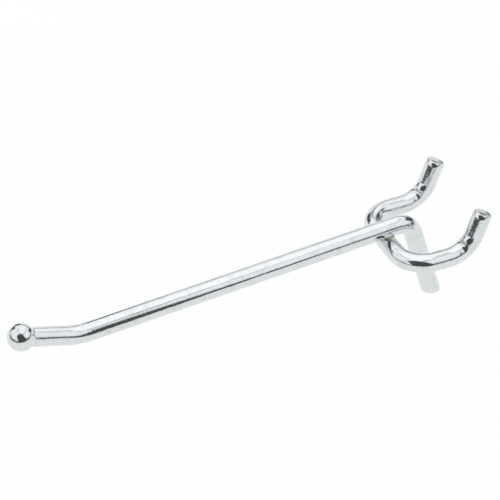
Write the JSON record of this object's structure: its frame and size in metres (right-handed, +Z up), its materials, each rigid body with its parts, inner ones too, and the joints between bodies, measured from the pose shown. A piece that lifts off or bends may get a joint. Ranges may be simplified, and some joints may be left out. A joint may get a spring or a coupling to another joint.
{
  "type": "pegboard hook",
  "caption": "Straight pegboard hook of bright plated wire: a ball-ended arm with a leg that stands on the board, welded over a U-shaped wire with upturned prongs.",
  "frame": {"origin": "on the front face of the board, midway between the prongs, at the height where their centre lines pass through that face", "axes": "+Y out of the back, into the board; +Z up along the leg; +X across the prongs; the arm reaches towards -Y"},
  "size_m": [0.0302, 0.1192, 0.053],
  "materials": {
    "zinc_plate": "bright zinc plate over drawn wire",
    "weld_tint": "plated weld flash with a faint grey-green passivate tint"
  },
  "bodies": {
    "root": {"arm_wire": "zinc_plate", "prong_wire": "zinc_plate", "weld_bead": "weld_tint"}
  },
  "joints": []
}
